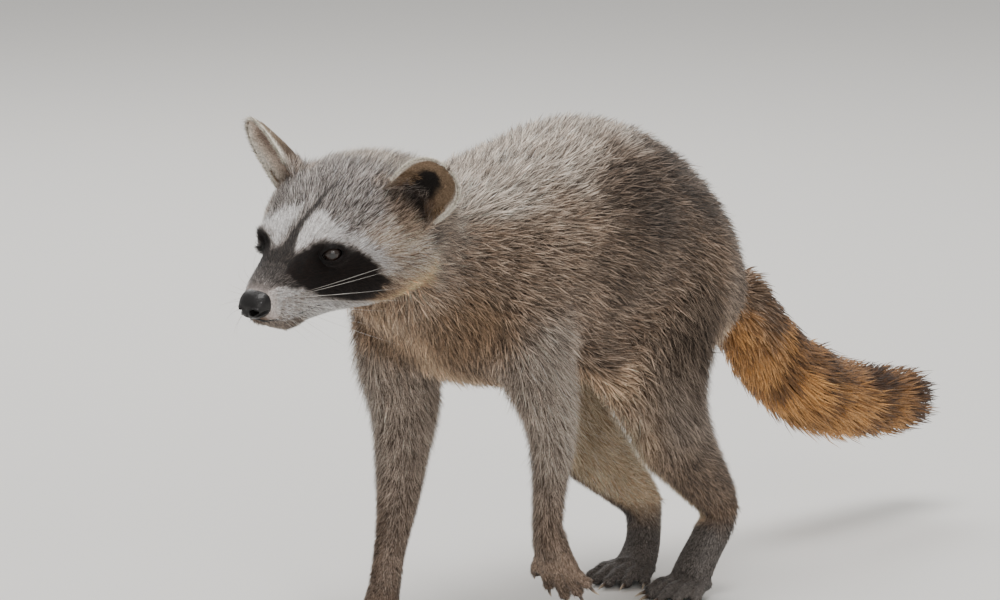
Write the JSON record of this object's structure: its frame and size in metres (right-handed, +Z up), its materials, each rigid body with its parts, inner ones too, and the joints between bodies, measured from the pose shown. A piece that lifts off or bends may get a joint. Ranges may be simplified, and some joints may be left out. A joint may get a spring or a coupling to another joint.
{
  "type": "raccoon",
  "caption": "Life-size still raccoon walking with its head low, left forepaw lifted, masked face, upright cupped ears and a bushy tail held down and back.",
  "frame": {"origin": "on the floor, under the middle of the animal's bounding box", "axes": "+Z up, the animal faces -Y, its left side is +X"},
  "size_m": [0.1612, 0.7292, 0.3276],
  "materials": {
    "coat": "grizzled grey-brown fur",
    "face_coat": "short pale fur with a black mask",
    "paw_coat": "short dark fur over bare pads",
    "tail_coat": "long ochre fur with dark tips and faint rings",
    "nose": "moist black nose leather",
    "eye": "wet dark eye",
    "claw": "worn horn"
  },
  "bodies": {
    "root": {"torso": "coat", "neck": "coat", "head": "face_coat", "nose": "nose", "ear_left": "face_coat", "ear_right": "face_coat", "eye_left": "eye", "eye_right": "eye", "foreleg_left_upper": "coat", "foreleg_left_lower": "coat", "forepaw_left": "paw_coat", "foreleg_right_upper": "coat", "foreleg_right_lower": "coat", "forepaw_right": "paw_coat", "hindleg_left_thigh": "coat", "hindleg_left_shin": "coat", "hindpaw_left": "paw_coat", "hindleg_right_thigh": "coat", "hindleg_right_shin": "coat", "hindpaw_right": "paw_coat", "tail_base": "tail_coat", "tail_middle": "tail_coat", "tail_tip": "tail_coat"}
  },
  "joints": []
}
